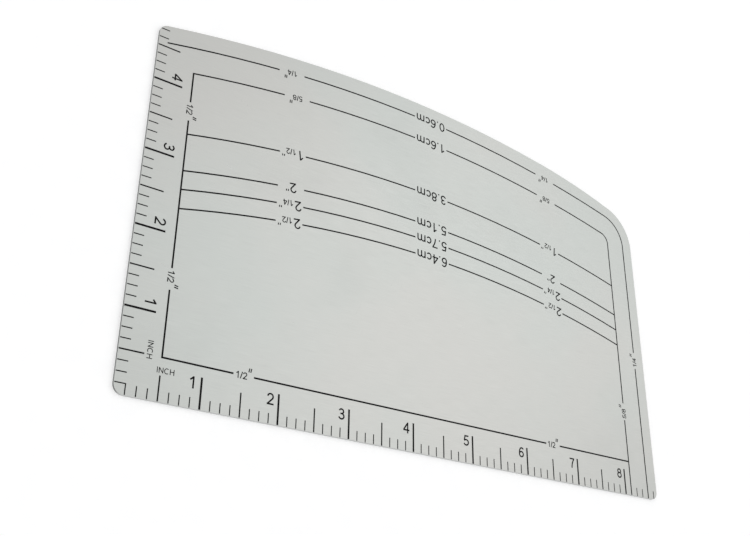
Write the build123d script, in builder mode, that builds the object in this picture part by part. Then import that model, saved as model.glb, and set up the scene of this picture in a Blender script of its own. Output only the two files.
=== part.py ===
from build123d import *

import os
from math import asin, degrees, floor, sqrt

# A hem gauge: one thin aluminium plate with a curved hem edge, printed on its upper face.
# Inch scales run along the bottom edge and the side edge, and lines for folding hems follow the
# curved edge at set depths. The plate lies on XY with its printed face up, and the origin is on
# the underside, at the centre of the plate's length and width. Sizes are in millimetres.

# The unit of both scales
inch = 25.4
divisions_per_inch = 8

# Plate
plate_length = 221.3
plate_width = 134.7
plate_thickness = 1.0
hem_radius = 483.5
shoulder_length = 53.0
shoulder_radius = 264.0
small_corner_radius = 3.2
large_corner_radius = 16.3
edge_rounding = 0.1

# Print in general: the ink stands this proud, and stops this far short of the edge's rounding
ink_thickness = 0.03
print_setback = 0.02
cut_overrun = 1.0

# Zero of both scales, measured from the left and the bottom cut edge
zero_from_left = 0.2
zero_from_bottom = 0.1
last_mark_room = 0.3

# Scale marks, whose reach is measured from the zero line of their own scale
inch_mark_reach = 9.4
inch_mark_stroke = 0.64
half_mark_reach = 7.4
half_mark_stroke = 0.45
eighth_mark_reach = 3.1
eighth_mark_stroke = 0.33

# Scale numerals and the unit's name
numeral_height = 3.55
numeral_stroke = 0.5
numeral_baseline = 5.7
numeral_gap = 1.4
unit_height = 1.65
unit_stroke = 0.23
unit_baseline_gap = 0.75
unit_shift = 1.5

# Half-inch line, along the bottom and up the side
half_inch_inset = 0.5 * inch
half_inch_stroke = 0.54

# Hem lines: the first one's depth inside the hem edge, then the step from each line to the next
quarter_depth = 0.25 * inch
five_eighths_step = 0.375 * inch
one_and_a_half_step = 0.875 * inch
two_step = 0.5 * inch
two_and_a_quarter_step = 0.25 * inch
two_and_a_half_step = 0.25 * inch
hem_stroke = 0.49
quarter_line_start = 2.8
quarter_bend = 12.2
five_eighths_bend = 4.3
mark_clearance = 0.3

# Line labels
label_height = 3.6
label_stroke = 0.48
fraction_height = 2.1
fraction_stroke = 0.3
inch_sign_stroke = 0.34
centimetre_height = 3.7
centimetre_stroke = 0.5
label_clearance = 0.6
fraction_shift = 0.6

# Places of the labels: the hem lines' columns are shares of the plate's length, and the others
# are shares of the stretch of line that carries them. A fraction alone stands past the middle of
# its blank by the shift above.
left_column_shares = (0.2788, 0.267, 0.269, 0.269, 0.269, 0.269)
right_column_share = 0.272
bottom_label_shares = (0.134, 0.791)
side_label_shares = (0.51, 0.369)
quarter_leg_label_share = 0.519
five_eighths_leg_label_share = 0.415

# Places worked out from the sizes
plate_left, plate_right = -plate_length / 2, plate_length / 2
plate_bottom, plate_top = -plate_width / 2, plate_width / 2
hem_centre_y = plate_top - hem_radius
zero_x = plate_left + zero_from_left
zero_y = plate_bottom + zero_from_bottom
division = inch / divisions_per_inch

side_line_x = zero_x + half_inch_inset
bottom_line_y = zero_y + half_inch_inset
side_line_face = side_line_x + half_inch_stroke / 2

five_eighths_depth = quarter_depth + five_eighths_step
one_and_a_half_depth = five_eighths_depth + one_and_a_half_step
two_depth = one_and_a_half_depth + two_step
two_and_a_quarter_depth = two_depth + two_and_a_quarter_step
two_and_a_half_depth = two_and_a_quarter_depth + two_and_a_half_step

# The two outer hem lines turn the corner and come down on marks of the bottom scale
bottom_mark_count = floor((plate_right - zero_x - last_mark_room) / division)
quarter_foot = bottom_mark_count - 1
five_eighths_foot = quarter_foot - round(five_eighths_step / division)
quarter_leg_x = zero_x + quarter_foot * division
five_eighths_leg_x = zero_x + five_eighths_foot * division
five_eighths_leg_face = five_eighths_leg_x - hem_stroke / 2

# Letters, as the middle of a pen's stroke, in shares of the capital height from the letter's left
# end and the baseline. Two numbers are a point that a straight stroke runs to, four are a point
# that an arc passes and the point where it ends, and six are an arc's centre, its two radii, and
# the angles where it starts and that it turns. An oval is a centre and two radii. The single quote
# stands for the short inch sign of a label with a whole number, and the space is the thin one
# beside a fraction there.
stroke_shares = {
    "1": (((0.459, 0), (0.459, 1)), ((0.17, 0.70), (0.44, 0.93))),
    "2": (((0.372, 0.685, 0.255, 0.255, 172, -217), (0.11, 0.06)), ((0.045, 0.06), (0.705, 0.06))),
    "3": (((0.372, 0.735, 0.215, 0.205, 165, -255), (0.27, 0.53)), ((0.378, 0.3, 0.262, 0.24, 90, -255),)),
    "4": (((0.513, 0), (0.513, 1)), ((0.067, 0.318), (0.51, 0.947)), ((0.018, 0.296), (0.709, 0.296))),
    "5": (((0.665, 0.935), (0.235, 0.935), (0.158, 0.47)), ((0.37, 0.32, 0.27, 0.26, 145, -305),)),
    "6": (((0.658, 0.807), (0.49, 0.937, 0.262, 0.842), (0.159, 0.621, 0.135, 0.44), (0.135, 0.31)),),
    "7": (((0.066, 0.94), (0.7, 0.94)), ((0.65, 0.91), (0.42, 0.5, 0.315, 0))),
    "9": (((0.119, 0.193), (0.287, 0.063, 0.515, 0.158), (0.618, 0.379, 0.642, 0.56), (0.642, 0.69)),),
    ".": (((0.197, 0), (0.197, 0.14)),),
    "/": (((0.045, 0), (0.343, 1)),),
    "″": (((0.09, 0.66), (0.16, 1)), ((0.27, 0.66), (0.34, 1))),
    "'": (((0.11, 0.69), (0.15, 0.89)), ((0.31, 0.69), (0.35, 0.89))),
    "c": (((0.372, 0.362, 0.257, 0.305, 38, 284),),),
    "m": (((0.153, 0), (0.153, 0.725)), ((0.367, 0.455, 0.214, 0.214, 180, -180), (0.581, 0)),
          ((0.795, 0.455, 0.214, 0.214, 180, -180), (1.009, 0))),
    "I": (((0.196, 0), (0.196, 1)),),
    "N": (((0.165, 0), (0.165, 1)), ((0.845, 0), (0.845, 1)), ((0.165, 0.955), (0.845, 0.045))),
    "C": (((0.53, 0.5, 0.4, 0.45, 50, 262),),),
    "H": (((0.172, 0), (0.172, 1)), ((0.843, 0), (0.843, 1)), ((0.172, 0.53), (0.843, 0.53))),
}
oval_shares = {
    "0": ((0.388, 0.5, 0.268, 0.44),),
    "6": ((0.39, 0.31, 0.255, 0.25),),
    "8": ((0.387, 0.735, 0.215, 0.205), (0.387, 0.31, 0.265, 0.25)),
    "9": ((0.387, 0.69, 0.255, 0.25),),
}
advance_shares = {letter: 0.777 for letter in "0123456789"}
advance_shares |= {" ": 0.12, ".": 0.388, "/": 0.388, "″": 0.43, "'": 0.43}
advance_shares |= {"c": 0.698, "m": 1.163}
advance_shares |= {"I": 0.388, "N": 1.009, "C": 1.009, "H": 1.009}


def text_length(runs):
    """Length of a text along its baseline; each run is letters, their height and their stroke."""
    return sum(advance_shares[letter] * height for letters, height, stroke in runs for letter in letters)


def draw_stroke(stroke, start_x, start_y, height):
    """One stroke of a letter, as the line that the middle of the pen follows."""
    def spot(x_share, y_share):
        return Vector(start_x + x_share * height, start_y + y_share * height)

    here = None
    with BuildLine() as path:
        for item in stroke:
            if len(item) == 6:
                x_share, y_share, wide_share, high_share, start, turn = item
                radii = (wide_share * height, high_share * height)
                arc = EllipticalCenterArc(spot(x_share, y_share), *radii, start, arc_size=turn)
                here = arc @ 1
            elif len(item) == 4:
                arc = ThreePointArc(here, spot(*item[:2]), spot(*item[2:]))
                here = arc @ 1
            elif here is None:
                here = spot(*item)
            else:
                straight = Line(here, spot(*item))
                here = straight @ 1
    return path.line


def lettering(runs, place, drop=0):
    """Text on the printed face at a place, which is x, y and a turn, with its baseline dropped below it."""
    x, y, turn = place
    pen_x = -text_length(runs) / 2
    with BuildSketch(Plane((x, y, plate_thickness)).rotated((0, 0, turn))) as text:
        for letters, height, stroke_width in runs:
            half_stroke = stroke_width / 2
            for letter in letters:
                for x_share, y_share, wide_share, high_share in oval_shares.get(letter, ()):
                    with Locations((pen_x + x_share * height, y_share * height - drop)):
                        Ellipse(wide_share * height + half_stroke, high_share * height + half_stroke)
                        Ellipse(wide_share * height - half_stroke, high_share * height - half_stroke,
                                mode=Mode.SUBTRACT)
                for stroke in stroke_shares.get(letter, ()):
                    trace(draw_stroke(stroke, pen_x, -drop, height), line_width=stroke_width)
                pen_x += advance_shares[letter] * height
    return text.sketch


def inch_label(whole, fraction):
    """Runs of a label in inches: the whole number, the fraction and the inch sign."""
    sign = "'" if whole else "″"
    return (
        (whole, label_height, label_stroke),
        (fraction, fraction_height, fraction_stroke),
        (sign, label_height, inch_sign_stroke),
    )


def line_height(x, depth):
    """How high the line at this depth inside the hem edge stands at x."""
    return hem_centre_y + sqrt((hem_radius - depth) ** 2 - x ** 2)


def on_line(x, depth):
    """Place at x on a hem line for text that reads from the hem edge, as x, y and a turn."""
    tilt = -degrees(asin(x / (hem_radius - depth)))
    return x, line_height(x, depth), 180 + tilt


def leg_top(depth, leg_x, bend):
    """Height at which a line has turned its corner and goes straight down."""
    return hem_centre_y + sqrt((hem_radius - depth - bend) ** 2 - (leg_x - bend) ** 2)


def bent_line(start_x, depth, leg_x, bend, stroke_width):
    """Line that follows the hem edge, turns the corner and runs down to the bottom edge."""
    start = Vector(start_x, line_height(start_x, depth))
    crown = Vector(0, line_height(0, depth))
    bend_centre = Vector(leg_x - bend, leg_top(depth, leg_x, bend))
    curve_end = bend_centre + (bend_centre - Vector(0, hem_centre_y)).normalized() * bend
    with BuildSketch() as band:
        with BuildLine() as path:
            curve = ThreePointArc(start, crown, curve_end)
            corner = TangentArc(curve_end, (leg_x, bend_centre.Y), tangent=curve % 1)
            Line(corner @ 1, (leg_x, plate_bottom))
        trace(path.line, line_width=stroke_width)
    return band.sketch


def curved_line(depth):
    """Line at this depth inside the hem edge, from the side line to the leg of the five-eighths line."""
    with BuildSketch() as band:
        with Locations((0, hem_centre_y)):
            Circle(hem_radius - depth + hem_stroke / 2)
            Circle(hem_radius - depth - hem_stroke / 2, mode=Mode.SUBTRACT)
        with Locations((side_line_face, 0)):
            Rectangle(five_eighths_leg_face - side_line_face, plate_width,
                      align=(Align.MIN, Align.CENTER), mode=Mode.INTERSECT)
    return band.sketch


def label_blanks(places, runs, stroke_width):
    """Blanks that take a line out where its labels stand."""
    blanks = []
    for x, y, turn in places:
        with BuildSketch(Plane((x, y, 0)).rotated((0, 0, turn))) as blank:
            Rectangle(text_length(runs) + 2 * label_clearance, stroke_width + 2 * cut_overrun)
        blanks.append(blank.sketch)
    return blanks


def mark_kind(mark):
    """Which marks this one of the scale's marks belongs with."""
    if mark % divisions_per_inch == 0:
        return "inch"
    if mark % divisions_per_inch == divisions_per_inch / 2:
        return "half_inch"
    return "eighth"


def finish_piece(piece, name):
    """The piece gets its name and its file."""
    piece.part.label = name
    export_step(piece.part, f"parts/{name}.step")


os.makedirs("parts", exist_ok=True)
printed_face = Plane.XY.offset(plate_thickness)

# Plate, cut from sheet, with its edges lightly rounded. Towards the right the hem edge falls away
# from its circle in a shoulder, which ends in the large corner.
left_end_y = line_height(plate_left, 0)
shoulder_x = plate_right - shoulder_length
shoulder_start = Vector(shoulder_x, line_height(shoulder_x, 0))
hem_centre = Vector(0, hem_centre_y)
shoulder_centre = shoulder_start + (hem_centre - shoulder_start) * (shoulder_radius / hem_radius)
right_end_y = shoulder_centre.Y + sqrt(shoulder_radius ** 2 - (plate_right - shoulder_centre.X) ** 2)
plate_corners = (
    (plate_left, left_end_y, small_corner_radius),
    (plate_left, plate_bottom, small_corner_radius),
    (plate_right, plate_bottom, small_corner_radius),
    (plate_right, right_end_y, large_corner_radius),
)
with BuildPart() as plate:
    with BuildSketch() as outline:
        with BuildLine():
            sides = Polyline(*[(corner_x, corner_y) for corner_x, corner_y, radius in plate_corners])
            hem = ThreePointArc(sides @ 0, (0, plate_top), shoulder_start)
            TangentArc(shoulder_start, sides @ 1, tangent=hem % 1)
        make_face()
        for corner_x, corner_y, radius in plate_corners:
            fillet(outline.vertices().sort_by_distance((corner_x, corner_y))[0], radius)
    extrude(amount=plate_thickness)
    fillet(plate.faces().filter_by(Plane.XY).edges(), edge_rounding)
finish_piece(plate, "plate")

# Where ink may lie
with BuildSketch() as printable:
    add(outline.sketch)
    offset(amount=-edge_rounding - print_setback, mode=Mode.REPLACE)

# Marks of both scales. The first mark of each meets the other's in a corner.
mark_sizes = {
    "inch": (inch_mark_reach, inch_mark_stroke),
    "half_inch": (half_mark_reach, half_mark_stroke),
    "eighth": (eighth_mark_reach, eighth_mark_stroke),
}
side_mark_count = floor((left_end_y - zero_y - last_mark_room) / division)
quarter_start = zero_x + quarter_line_start
cleared_stroke = hem_stroke + 2 * mark_clearance
cleared_line = bent_line(quarter_start, quarter_depth, quarter_leg_x, quarter_bend, cleared_stroke)
for kind, (reach, stroke_width) in mark_sizes.items():
    with BuildPart() as bottom_marks:
        with BuildSketch(printed_face):
            for mark in range(1, bottom_mark_count + 1):
                if mark_kind(mark) == kind and mark not in (quarter_foot, five_eighths_foot):
                    top = division + stroke_width / 2 if mark == 1 else reach
                    with Locations((zero_x + mark * division, plate_bottom)):
                        Rectangle(stroke_width, zero_from_bottom + top, align=(Align.CENTER, Align.MIN))
            add(printable.sketch, mode=Mode.INTERSECT)
        extrude(amount=ink_thickness)
    finish_piece(bottom_marks, f"bottom_{kind}_marks")

    with BuildPart() as side_marks:
        with BuildSketch(printed_face):
            for mark in range(1, side_mark_count + 1):
                if mark_kind(mark) == kind:
                    end = division - stroke_width / 2 if mark == 1 else reach
                    with Locations((plate_left, zero_y + mark * division)):
                        Rectangle(zero_from_left + end, stroke_width, align=(Align.MIN, Align.CENTER))
            add(printable.sketch, mode=Mode.INTERSECT)
            add(cleared_line, mode=Mode.SUBTRACT)
        extrude(amount=ink_thickness)
    finish_piece(side_marks, f"side_{kind}_marks")

# Numerals, each just before its inch mark, as far as the scales run clear of the hem lines
with BuildPart() as bottom_numerals:
    for number in range(1, five_eighths_foot // divisions_per_inch + 1):
        runs = ((str(number), numeral_height, numeral_stroke),)
        x = zero_x + number * inch - numeral_gap - text_length(runs) / 2
        add(lettering(runs, (x, zero_y + numeral_baseline, 0)))
    extrude(amount=ink_thickness)
finish_piece(bottom_numerals, "bottom_numerals")

with BuildPart() as side_numerals:
    highest_numeral_y = line_height(zero_x, quarter_depth) - mark_clearance - numeral_height - numeral_gap
    for number in range(1, floor((highest_numeral_y - zero_y) / inch) + 1):
        runs = ((str(number), numeral_height, numeral_stroke),)
        y = zero_y + number * inch + numeral_gap + text_length(runs) / 2
        add(lettering(runs, (zero_x + numeral_baseline, y, -90)))
    extrude(amount=ink_thickness)
finish_piece(side_numerals, "side_numerals")

# The unit's name beyond the first half-inch mark of each scale
unit_along = inch / 2 + unit_shift
unit_across = half_mark_reach + unit_baseline_gap
unit_places = {
    "bottom": (zero_x + unit_along, zero_y + unit_across, 0),
    "side": (zero_x + unit_across, zero_y + unit_along, -90),
}
for scale, place in unit_places.items():
    with BuildPart() as unit_name:
        add(lettering((("INCH", unit_height, unit_stroke),), place))
        extrude(amount=ink_thickness)
    finish_piece(unit_name, f"{scale}_unit_name")

# Half-inch line, down the side from the five-eighths line and along the bottom to its leg
half_label = inch_label("", "1/2")
bottom_run = five_eighths_leg_face - side_line_x
deepest_end_y = line_height(side_line_x, two_and_a_half_depth)
third_end_y = line_height(side_line_x, one_and_a_half_depth)
second_end_y = line_height(side_line_x, five_eighths_depth)
half_places = [(side_line_x + share * bottom_run, bottom_line_y, 0) for share in bottom_label_shares]
low_share, high_share = side_label_shares
half_places.append((side_line_x, bottom_line_y + low_share * (deepest_end_y - bottom_line_y), -90))
half_places.append((side_line_x, third_end_y + high_share * (second_end_y - third_end_y), -90))
with BuildPart() as half_inch_line:
    with BuildSketch(printed_face):
        with BuildLine():
            Polyline((side_line_x, second_end_y + cut_overrun), (side_line_x, bottom_line_y),
                     (five_eighths_leg_face, bottom_line_y))
        trace(line_width=half_inch_stroke)
        with Locations((0, hem_centre_y)):
            Circle(hem_radius - five_eighths_depth - hem_stroke / 2, mode=Mode.INTERSECT)
        add(label_blanks(half_places, half_label, half_inch_stroke), mode=Mode.SUBTRACT)
    extrude(amount=ink_thickness)
finish_piece(half_inch_line, "half_inch_line")

with BuildPart() as half_inch_labels:
    for place in half_places:
        add(lettering(half_label, place, fraction_height / 2))
    extrude(amount=ink_thickness)
finish_piece(half_inch_labels, "half_inch_labels")

# Hem lines with their labels. The two outer lines also run down the right side, with a label there.
quarter_leg_run = leg_top(quarter_depth, quarter_leg_x, quarter_bend) - zero_y
quarter_leg_y = zero_y + quarter_leg_label_share * quarter_leg_run
five_eighths_leg_run = line_height(five_eighths_leg_face, two_and_a_half_depth) - bottom_line_y
five_eighths_leg_y = bottom_line_y + five_eighths_leg_label_share * five_eighths_leg_run
second_start = side_line_x - half_inch_stroke / 2
bent_lines = {
    "quarter_inch": (
        bent_line(quarter_start, quarter_depth, quarter_leg_x, quarter_bend, hem_stroke),
        [(quarter_leg_x, quarter_leg_y, 90)],
    ),
    "five_eighths": (
        bent_line(second_start, five_eighths_depth, five_eighths_leg_x, five_eighths_bend, hem_stroke),
        [(five_eighths_leg_x, five_eighths_leg_y, 90)],
    ),
}
hem_lines = (
    ("quarter_inch", quarter_depth, "", "1/4", "0.6cm"),
    ("five_eighths", five_eighths_depth, "", "5/8", "1.6cm"),
    ("one_and_a_half", one_and_a_half_depth, "1", " 1/2 ", "3.8cm"),
    ("two_inch", two_depth, "2", "", "5.1cm"),
    ("two_and_a_quarter", two_and_a_quarter_depth, "2", " 1/4 ", "5.7cm"),
    ("two_and_a_half", two_and_a_half_depth, "2", " 1/2 ", "6.4cm"),
)
longest_label = inch_label("2", " 1/2 ")
for (name, depth, whole, fraction, centimetres), left_share in zip(hem_lines, left_column_shares):
    band, leg_places = bent_lines[name] if name in bent_lines else (curved_line(depth), [])
    inch_runs = inch_label(whole, fraction)
    centimetre_runs = ((centimetres, centimetre_height, centimetre_stroke),)
    column_shares = (-left_share, right_column_share)
    inch_places = [on_line(share * plate_length, depth) for share in column_shares]
    text_shift = 0 if whole else fraction_shift
    text_places = [on_line(share * plate_length - text_shift, depth) for share in column_shares]
    middle_place = on_line(0, depth)
    with BuildPart() as line:
        with BuildSketch(printed_face):
            add(band)
            add(printable.sketch, mode=Mode.INTERSECT)
            add(label_blanks(inch_places, longest_label, hem_stroke), mode=Mode.SUBTRACT)
            add(label_blanks(leg_places, half_label, hem_stroke), mode=Mode.SUBTRACT)
            add(label_blanks([middle_place], centimetre_runs, hem_stroke), mode=Mode.SUBTRACT)
        extrude(amount=ink_thickness)
    finish_piece(line, f"{name}_line")

    with BuildPart() as inch_labels:
        label_drop = (label_height if whole else fraction_height) / 2
        for place in text_places + leg_places:
            add(lettering(inch_runs, place, label_drop))
        extrude(amount=ink_thickness)
    finish_piece(inch_labels, f"{name}_labels")

    with BuildPart() as centimetre_label:
        add(lettering(centimetre_runs, middle_place, centimetre_height / 2))
        extrude(amount=ink_thickness)
    finish_piece(centimetre_label, f"{name}_centimetres")
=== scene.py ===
import math

import bpy
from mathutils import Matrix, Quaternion, Vector

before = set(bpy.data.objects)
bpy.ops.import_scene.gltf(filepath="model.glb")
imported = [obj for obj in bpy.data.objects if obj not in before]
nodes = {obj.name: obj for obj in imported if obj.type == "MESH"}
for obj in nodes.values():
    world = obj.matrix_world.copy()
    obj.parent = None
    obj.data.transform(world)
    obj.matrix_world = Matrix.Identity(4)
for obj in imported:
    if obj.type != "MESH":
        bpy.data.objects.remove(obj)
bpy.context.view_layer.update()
scene = bpy.context.scene
scene.view_settings.view_transform = "Standard"
print("frame loaded:", len(nodes), "nodes")


# Camera
cameraView = {
    "place": (-0.20069, -0.14372, 0.24462),
    "target": (-0.02678, -0.00394, 0.001),
    "rollDegrees": 60.301,
    "lens": 46.823,  # for a 36 mm wide frame, 750 by 536 in proportion
    "sensorWidth": 36.0,
    "shift": (0.0051, -0.0123),
    "clip": (0.005, 50.0),
}


def addCamera(view):
    lens = bpy.data.cameras.new("photoCamera")
    lens.lens = view["lens"]
    lens.sensor_fit = "HORIZONTAL"
    lens.sensor_width = view["sensorWidth"]
    lens.shift_x, lens.shift_y = view["shift"]
    lens.clip_start, lens.clip_end = view["clip"]
    camera = bpy.data.objects.new("photoCamera", lens)
    scene.collection.objects.link(camera)
    sight = Vector(view["target"]) - Vector(view["place"])
    roll = Quaternion(sight, -math.radians(view["rollDegrees"]))
    camera.rotation_mode = "QUATERNION"
    camera.rotation_quaternion = roll @ sight.to_track_quat("-Z", "Y")
    camera.location = view["place"]
    scene.camera = camera


addCamera(cameraView)
print("camera placed")


# Small helpers for node trees
def addNode(tree, kind, settings=(), inputs=()):
    node = tree.nodes.new(kind)
    for name, value in dict(settings).items():
        setattr(node, name, value)
    for name, value in dict(inputs).items():
        socket = node.inputs[name]
        if isinstance(value, bpy.types.NodeSocket):
            tree.links.new(value, socket)
        else:
            socket.default_value = value
    return node


def calc(tree, operation, first, second=0.0):
    return addNode(tree, "ShaderNodeMath", {"operation": operation}, {0: first, 1: second}).outputs[0]


def spread(tree, value, fromLow, fromHigh, toLow=0.0, toHigh=1.0):
    names = ("Value", "From Min", "From Max", "To Min", "To Max")
    inputs = dict(zip(names, (value, fromLow, fromHigh, toLow, toHigh)))
    smooth = {"interpolation_type": "SMOOTHSTEP"}
    return addNode(tree, "ShaderNodeMapRange", smooth, inputs).outputs["Result"]


def mixColour(tree, share, first, second):
    node = tree.nodes.new("ShaderNodeMix")
    node.data_type = "RGBA"
    for index, value in ((0, share), (6, first), (7, second)):
        if isinstance(value, bpy.types.NodeSocket):
            tree.links.new(value, node.inputs[index])
        else:
            node.inputs[index].default_value = value if index == 0 else (*value, 1.0)
    return node.outputs[2]


def layColour(tree, colour, mask, share, layer):  # lays a second colour over the first where the mask is
    return mixColour(tree, calc(tree, "MULTIPLY", mask, share), colour, layer)


def newGroup(name, inputs, outputs):
    group = bpy.data.node_groups.new(name, "ShaderNodeTree")
    for socketName, kind, value in inputs:
        socket = group.interface.new_socket(socketName, in_out="INPUT", socket_type=kind)
        if value is not None:
            socket.default_value = value
    for socketName, kind in outputs:
        group.interface.new_socket(socketName, in_out="OUTPUT", socket_type=kind)
    source = group.nodes.new("NodeGroupInput").outputs
    target = group.nodes.new("NodeGroupOutput").inputs
    return group, source, target


def placeGroup(tree, group, inputs=()):
    return addNode(tree, "ShaderNodeGroup", {"node_tree": group}, inputs).outputs


floatKind, vectorKind = "NodeSocketFloat", "NodeSocketVector"

# How the effects below are made, the same in every material
effectLook = {
    "cloud": {"Detail": 3.0, "Roughness": 0.55},
    "grain": {"Scale": 1.0, "Detail": 4.0, "Roughness": 0.6},
    "hairline": {"Scale": 1.0, "Detail": 1.0, "Roughness": 0.4},
    "hairlineSoftness": 0.05,
    "patchDetail": 2.0,
    "patchRange": (0.45, 0.6),
    "speckCore": 0.5,
    "sideRange": (0.15, 0.45),  # of how upright a face's normal stands, from 0 to 1
    "endRange": (0.3, 0.9),  # of how far it points along the plate's length
    "roundedRange": (0.9, 0.995),
    "undersideBelow": -0.5,
}


# Soft clouds: slow changes in tint and sheen
def makeCloudGroup():
    inputs = (("Vector", vectorKind, None), ("Scale", floatKind, 10.0), ("Offset", vectorKind, (0, 0, 0)),
              ("Low", floatKind, 0.35), ("High", floatKind, 0.65))
    group, source, target = newGroup("softCloud", inputs, (("Mask", floatKind),))
    moved = addNode(group, "ShaderNodeVectorMath", {"operation": "ADD"}, {
        0: source["Vector"], 1: source["Offset"]})
    noise = addNode(group, "ShaderNodeTexNoise", (), {
        "Vector": moved.outputs[0], "Scale": source["Scale"], **effectLook["cloud"]})
    mask = spread(group, noise.outputs[0], source["Low"], source["High"])
    group.links.new(mask, target["Mask"])
    return group


# Rolling grain: fine lines along one direction, made by stretching a noise
def makeGrainGroup():
    inputs = (("Vector", vectorKind, None), ("Along", floatKind, 12.0), ("Across", floatKind, 2500.0))
    group, source, target = newGroup("rollingGrain", inputs, (("Mask", floatKind),))
    stretch = addNode(group, "ShaderNodeCombineXYZ", (), {
        "X": source["Along"], "Y": source["Across"], "Z": source["Across"]})
    stretched = addNode(group, "ShaderNodeVectorMath", {"operation": "MULTIPLY"}, {
        0: source["Vector"], 1: stretch.outputs[0]})
    noise = addNode(group, "ShaderNodeTexNoise", (), {
        "Vector": stretched.outputs[0], **effectLook["grain"]})
    group.links.new(noise.outputs[0], target["Mask"])
    return group


# Hairlines: long thin scratches at an angle, broken up in patches
def makeHairlineGroup():
    inputs = (("Vector", vectorKind, None), ("Turn", floatKind, 0.0), ("Along", floatKind, 25.0),
              ("Across", floatKind, 1400.0), ("Rarity", floatKind, 0.7), ("Patch", floatKind, 30.0))
    group, source, target = newGroup("hairlines", inputs, (("Mask", floatKind),))
    turned = addNode(group, "ShaderNodeVectorRotate", {"rotation_type": "Z_AXIS"}, {
        "Vector": source["Vector"], "Angle": source["Turn"]})
    stretch = addNode(group, "ShaderNodeCombineXYZ", (), {
        "X": source["Along"], "Y": source["Across"], "Z": source["Along"]})
    stretched = addNode(group, "ShaderNodeVectorMath", {"operation": "MULTIPLY"}, {
        0: turned.outputs[0], 1: stretch.outputs[0]})
    lines = addNode(group, "ShaderNodeTexNoise", (), {
        "Vector": stretched.outputs[0], **effectLook["hairline"]})
    full = calc(group, "ADD", source["Rarity"], effectLook["hairlineSoftness"])
    thin = spread(group, lines.outputs[0], source["Rarity"], full)
    patch = addNode(group, "ShaderNodeTexNoise", (), {
        "Vector": turned.outputs[0], "Scale": source["Patch"], "Detail": effectLook["patchDetail"]})
    broken = calc(group, "MULTIPLY", thin, spread(group, patch.outputs[0], *effectLook["patchRange"]))
    group.links.new(broken, target["Mask"])
    return group


# Specks: small round spots, scattered, some cells left empty
def makeSpeckGroup():
    inputs = (("Vector", vectorKind, None), ("Scale", floatKind, 900.0), ("Size", floatKind, 0.12),
              ("Share", floatKind, 0.3))
    group, source, target = newGroup("specks", inputs, (("Mask", floatKind),))
    cells = addNode(group, "ShaderNodeTexVoronoi", {"feature": "F1"}, {
        "Vector": source["Vector"], "Scale": source["Scale"]})
    core = calc(group, "MULTIPLY", source["Size"], effectLook["speckCore"])
    spots = spread(group, cells.outputs["Distance"], core, source["Size"], 1.0, 0.0)
    chosen = addNode(group, "ShaderNodeSeparateColor", (), {"Color": cells.outputs["Color"]})
    kept = calc(group, "LESS_THAN", chosen.outputs[0], source["Share"])
    group.links.new(calc(group, "MULTIPLY", spots, kept), target["Mask"])
    return group


# Which way a face looks: masks of the cut sides, the cut ends, the rounded edges and the underside
def makeRimGroup():
    outputs = [(name, floatKind) for name in ("Side", "End", "Rounded", "Underside")]
    group, _, target = newGroup("rims", (), outputs)
    geometry = group.nodes.new("ShaderNodeNewGeometry")
    parts = addNode(group, "ShaderNodeSeparateXYZ", (), {"Vector": geometry.outputs["Normal"]})
    upright = calc(group, "ABSOLUTE", parts.outputs["Z"])
    side = spread(group, upright, *effectLook["sideRange"], 1.0, 0.0)
    tilted = spread(group, upright, *effectLook["roundedRange"], 1.0, 0.0)
    group.links.new(side, target["Side"])
    lengthwise = calc(group, "ABSOLUTE", parts.outputs["X"])
    group.links.new(spread(group, lengthwise, *effectLook["endRange"]), target["End"])
    group.links.new(calc(group, "SUBTRACT", tilted, side), target["Rounded"])
    below = calc(group, "LESS_THAN", parts.outputs["Z"], effectLook["undersideBelow"])
    group.links.new(below, target["Underside"])
    return group


cloudGroup = makeCloudGroup()
grainGroup = makeGrainGroup()
hairlineGroup = makeHairlineGroup()
speckGroup = makeSpeckGroup()
rimGroup = makeRimGroup()
print("effect groups made")


def newMaterial(name, shaderValues):
    material = bpy.data.materials.new(name)
    material.use_nodes = True
    tree = material.node_tree
    shader = tree.nodes["Principled BSDF"]
    for socketName, value in shaderValues.items():
        shader.inputs[socketName].default_value = value
    where = tree.nodes.new("ShaderNodeTexCoord").outputs["Object"]
    return material, tree, shader, where


def bump(tree, shader, height, depth):
    node = addNode(tree, "ShaderNodeBump", (), {"Height": height, "Distance": depth, "Strength": 1.0})
    tree.links.new(node.outputs["Normal"], shader.inputs["Normal"])


# Plate: matt anodised aluminium sheet, bare bright rounding at the edge, and painted light and shade on the
# cut edge
plateLook = {
    "colour": (0.476, 0.498, 0.481),
    "tint": (0.496, 0.498, 0.481),
    "smudgeColour": (0.457, 0.469, 0.452),
    "pitColour": (0.282, 0.290, 0.282),
    # The cut edge's two colours are painted light: the long sides a lit copy, the ends a shaded copy
    "litSideColour": (0.534, 0.538, 0.534),
    "shadedEndColour": (0.223, 0.227, 0.223),
    "roundedColour": (0.541, 0.549, 0.541),
    "scratchColour": (0.564, 0.573, 0.564),
    "metallic": 1.0,
    "roughness": (0.34, 0.45),
    "cloudScale": 9.0,
    "smudges": {"Scale": 26.0, "Offset": (3.1, 1.7, 0.4), "Low": 0.52, "High": 0.72},
    "grain": {"Along": 130.0, "Across": 9000.0},
    "grainRange": (0.25, 0.75),
    "grainShade": 0.10,
    "smudgeShare": 0.15,
    "smudgeRoughness": 0.02,
    "pits": {"Scale": 800.0, "Size": 0.09, "Share": 0.10},
    "pitShare": 0.4,
    "scratchTurns": (0.35, -1.1),
    "scratches": {"Along": 40.0, "Across": 4200.0, "Rarity": 0.72, "Patch": 30.0},
    "scratchShare": 0.12,
    "scratchSheen": 0.12,
    "scratchDepth": 0.6,
    "undersideRarity": 0.66,
    "sideRoughness": 0.12,
    "bumpDepth": 0.000012,
}


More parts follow.
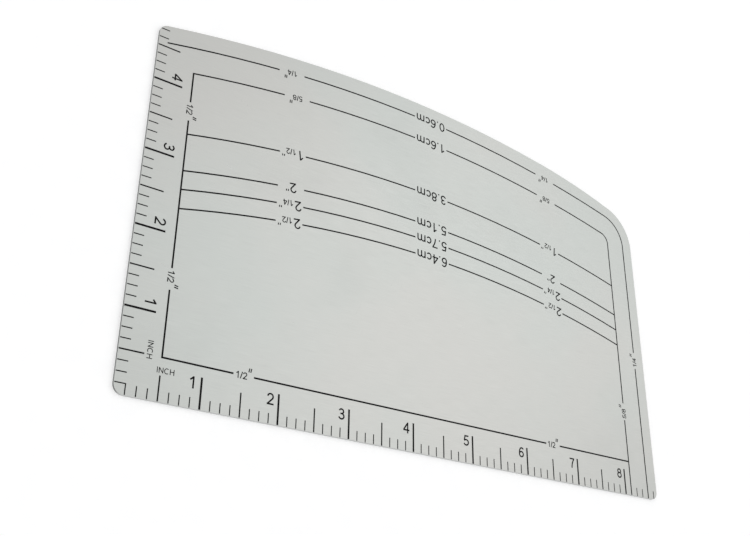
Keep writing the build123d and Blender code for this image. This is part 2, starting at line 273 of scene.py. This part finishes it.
def makePlateMaterial(look):
    material, tree, shader, where = newMaterial("anodisedSheet", {"Metallic": look["metallic"]})
    cloud = placeGroup(tree, cloudGroup, {"Vector": where, "Scale": look["cloudScale"]})["Mask"]
    smudge = placeGroup(tree, cloudGroup, {"Vector": where, **look["smudges"]})["Mask"]
    grain = placeGroup(tree, grainGroup, {"Vector": where, **look["grain"]})["Mask"]
    pits = placeGroup(tree, speckGroup, {"Vector": where, **look["pits"]})["Mask"]
    rims = placeGroup(tree, rimGroup)

    scratchSettings = dict(look["scratches"])
    topRarity = scratchSettings.pop("Rarity")
    rarity = spread(tree, rims["Underside"], 0.0, 1.0, topRarity, look["undersideRarity"])
    scratches = 0.0
    for turn in look["scratchTurns"]:
        lines = placeGroup(tree, hairlineGroup, {
            "Vector": where, "Turn": turn, "Rarity": rarity, **scratchSettings})["Mask"]
        scratches = calc(tree, "MAXIMUM", lines, scratches)

    colour = mixColour(tree, cloud, look["colour"], look["tint"])
    colour = layColour(tree, colour, smudge, look["smudgeShare"], look["smudgeColour"])
    shade = spread(tree, grain, *look["grainRange"], 0.0, look["grainShade"])
    colour = mixColour(tree, shade, colour, look["pitColour"])
    colour = layColour(tree, colour, pits, look["pitShare"], look["pitColour"])
    colour = layColour(tree, colour, scratches, look["scratchShare"], look["scratchColour"])
    # Painted light and shade on the cut edge: long sides lighter, ends darker, by which way each face
    # points
    cut = mixColour(tree, rims["End"], look["litSideColour"], look["shadedEndColour"])
    colour = mixColour(tree, rims["Side"], colour, cut)
    colour = mixColour(tree, rims["Rounded"], colour, look["roundedColour"])
    tree.links.new(colour, shader.inputs["Base Color"])

    rough = spread(tree, grain, *look["grainRange"], *look["roughness"])
    rough = calc(tree, "ADD", rough, calc(tree, "MULTIPLY", smudge, look["smudgeRoughness"]))
    rough = calc(tree, "SUBTRACT", rough, calc(tree, "MULTIPLY", scratches, look["scratchSheen"]))
    rough = calc(tree, "ADD", rough, calc(tree, "MULTIPLY", rims["Side"], look["sideRoughness"]))
    tree.links.new(rough, shader.inputs["Roughness"])

    height = calc(tree, "SUBTRACT", grain, calc(tree, "MULTIPLY", scratches, look["scratchDepth"]))
    height = calc(tree, "SUBTRACT", height, pits)
    bump(tree, shader, height, look["bumpDepth"])
    return material


# Ink: matt black screen print, a little thin in places, with pinholes and the mesh of the screen
# in its surface
inkLook = {
    "colour": (0.003, 0.003, 0.0033),
    "thinColour": (0.010, 0.010, 0.0105),
    "pinholeColour": (0.12, 0.122, 0.12),
    "rimColour": (0.02, 0.02, 0.021),
    "scuffColour": (0.16, 0.165, 0.16),
    "roughness": (0.5, 0.68),
    "specular": 0.08,
    "thinSpots": {"Scale": 420.0, "Low": 0.4, "High": 0.7},
    "pinholes": {"Scale": 5200.0, "Size": 0.13, "Share": 0.12},
    "pinholeShare": 0.6,
    "scuffs": {"Along": 60.0, "Across": 5200.0, "Rarity": 0.7, "Patch": 90.0},
    "scuffTurn": 0.8,
    "scuffShare": 0.4,
    "meshPitch": 0.00018,
    "meshHeight": 0.3,
    "bumpDepth": 0.000006,
}
# Each part of the print: how its nodes' names end, how thin its ink runs, and where its clouds start
inkParts = {
    "scaleInk": {"endings": ("_marks",), "thinness": 0.35, "offset": (0.0, 0.0, 0.0)},
    "figureInk": {"endings": ("_numerals", "_unit_name"), "thinness": 0.3, "offset": (1.3, 0.2, 0.0)},
    "lineInk": {"endings": ("_line",), "thinness": 0.45, "offset": (2.1, 4.4, 0.0)},
    "labelInk": {"endings": ("_labels", "_centimetres"), "thinness": 0.55, "offset": (5.2, 2.9, 0.0)},
}


def makeInkMaterial(name, part, look):
    shaderValues = {"Metallic": 0.0, "Specular IOR Level": look["specular"]}
    material, tree, shader, where = newMaterial(name, shaderValues)
    clouds = placeGroup(tree, cloudGroup, {"Vector": where, "Offset": part["offset"], **look["thinSpots"]})
    thin = calc(tree, "MULTIPLY", clouds["Mask"], part["thinness"])
    pinholes = placeGroup(tree, speckGroup, {"Vector": where, **look["pinholes"]})["Mask"]
    scuffs = placeGroup(tree, hairlineGroup, {
        "Vector": where, "Turn": look["scuffTurn"], **look["scuffs"]})["Mask"]
    rims = placeGroup(tree, rimGroup)

    colour = mixColour(tree, thin, look["colour"], look["thinColour"])
    colour = layColour(tree, colour, scuffs, look["scuffShare"], look["scuffColour"])
    colour = layColour(tree, colour, pinholes, look["pinholeShare"], look["pinholeColour"])
    colour = mixColour(tree, rims["Side"], colour, look["rimColour"])
    tree.links.new(colour, shader.inputs["Base Color"])

    tree.links.new(spread(tree, thin, 0.0, 1.0, *look["roughness"]), shader.inputs["Roughness"])

    place = addNode(tree, "ShaderNodeSeparateXYZ", (), {"Vector": where})
    turns = 2 * math.pi / look["meshPitch"]
    waves = [calc(tree, "SINE", calc(tree, "MULTIPLY", place.outputs[axis], turns)) for axis in ("X", "Y")]
    mesh = calc(tree, "MULTIPLY", waves[0], waves[1])
    height = calc(tree, "SUBTRACT", calc(tree, "MULTIPLY", mesh, look["meshHeight"]), pinholes)
    bump(tree, shader, height, look["bumpDepth"])
    return material


def finishNode(node, material):
    node.data.materials.clear()
    node.data.materials.append(material)


finishNode(nodes["plate"], makePlateMaterial(plateLook))
print("plate finished")
inkedNames = set()
for name, part in inkParts.items():
    ink = makeInkMaterial(name, part, inkLook)
    members = [nodeName for nodeName in nodes if nodeName.endswith(part["endings"])]
    for nodeName in members:
        finishNode(nodes[nodeName], ink)
    inkedNames.update(members)
    print(name, "on", len(members), "nodes")
assert len(inkedNames) == len(nodes) - 1, "every printed node has its ink"


def seenRays(tree, path):  # 1 for a ray from the camera, off metal or through glass, and otherwise 0
    mirrored = calc(tree, "MAXIMUM", path["Is Glossy Ray"], path["Is Transmission Ray"])
    return calc(tree, "MAXIMUM", path["Is Camera Ray"], mirrored)


# Floor: pale matt paper, lifted to white where the camera or a reflection sees it, and more so far
# off, where the lamps don't reach. From below it is clear, and so it is to the underside right above it.
floorLook = {
    "halfWidth": 3.0,
    "drop": 0.0001,
    "colour": (0.86, 0.86, 0.86),
    "fleckColour": (0.84, 0.84, 0.845),
    "fleckScale": 160.0,
    "roughness": 0.9,
    "lift": 0.25,
    "farLift": 0.45,
    "liftRange": (0.2, 1.0),
    "clearWithin": 0.0004,
}


def addFloor(look):
    reach, drop = look["halfWidth"], -look["drop"]
    corners = [(-reach, -reach, drop), (reach, -reach, drop), (reach, reach, drop), (-reach, reach, drop)]
    mesh = bpy.data.meshes.new("floor")
    mesh.from_pydata(corners, [], [(0, 1, 2, 3)])
    floor = bpy.data.objects.new("floor", mesh)
    scene.collection.objects.link(floor)

    material, tree, shader, where = newMaterial("floorPaper", {"Roughness": look["roughness"]})
    fleck = placeGroup(tree, cloudGroup, {"Vector": where, "Scale": look["fleckScale"]})["Mask"]
    tree.links.new(mixColour(tree, fleck, look["colour"], look["fleckColour"]), shader.inputs["Base Color"])
    shader.inputs["Emission Color"].default_value = (1.0, 1.0, 1.0, 1.0)
    path = tree.nodes.new("ShaderNodeLightPath").outputs
    seen = seenRays(tree, path)
    distance = addNode(tree, "ShaderNodeVectorMath", {"operation": "LENGTH"}, {0: where}).outputs["Value"]
    lift = spread(tree, distance, *look["liftRange"], look["lift"], look["farLift"])
    tree.links.new(calc(tree, "MULTIPLY", seen, lift), shader.inputs["Emission Strength"])
    clear = tree.nodes.new("ShaderNodeBsdfTransparent")
    facing = tree.nodes.new("ShaderNodeNewGeometry").outputs["Backfacing"]
    close = calc(tree, "LESS_THAN", path["Ray Length"], look["clearWithin"])
    either = addNode(tree, "ShaderNodeMixShader", (), {
        0: calc(tree, "MAXIMUM", facing, close), 1: shader.outputs[0], 2: clear.outputs[0]})
    tree.links.new(either.outputs[0], tree.nodes["Material Output"].inputs["Surface"])
    mesh.materials.append(material)


addFloor(floorLook)
print("floor laid")


# Light: an even pale room, white where the camera or a reflection sees it, and two large soft lamps
roomLight = {"colour": (1.0, 1.0, 1.0), "strength": 0.78, "seenStrength": 1.0}
lamps = {
    "keySoftbox": {"place": (0.67, 0.44, 0.9), "size": 0.8, "power": 1.15, "colour": (1.0, 0.995, 0.98)},
    "fillSoftbox": {"place": (-0.9, -0.3, 1.1), "size": 1.4, "power": 2.0, "colour": (0.97, 0.99, 1.0)},
}


def lightRoom(room):
    world = bpy.data.worlds.new("paleRoom")
    world.use_nodes = True
    tree = world.node_tree
    tree.nodes["Background"].inputs["Color"].default_value = (*room["colour"], 1.0)
    seen = seenRays(tree, tree.nodes.new("ShaderNodeLightPath").outputs)
    strength = spread(tree, seen, 0.0, 1.0, room["strength"], room["seenStrength"])
    tree.links.new(strength, tree.nodes["Background"].inputs["Strength"])
    scene.world = world


def addLamp(name, look):
    light = bpy.data.lights.new(name, "AREA")
    light.shape = "SQUARE"
    light.size = look["size"]
    light.energy = look["power"]
    light.color = look["colour"]
    lamp = bpy.data.objects.new(name, light)
    lamp.location = look["place"]
    lamp.rotation_mode = "QUATERNION"
    lamp.rotation_quaternion = (-Vector(look["place"])).to_track_quat("-Z", "Y")
    scene.collection.objects.link(lamp)


lightRoom(roomLight)
for name, look in lamps.items():
    addLamp(name, look)
print("lights set")
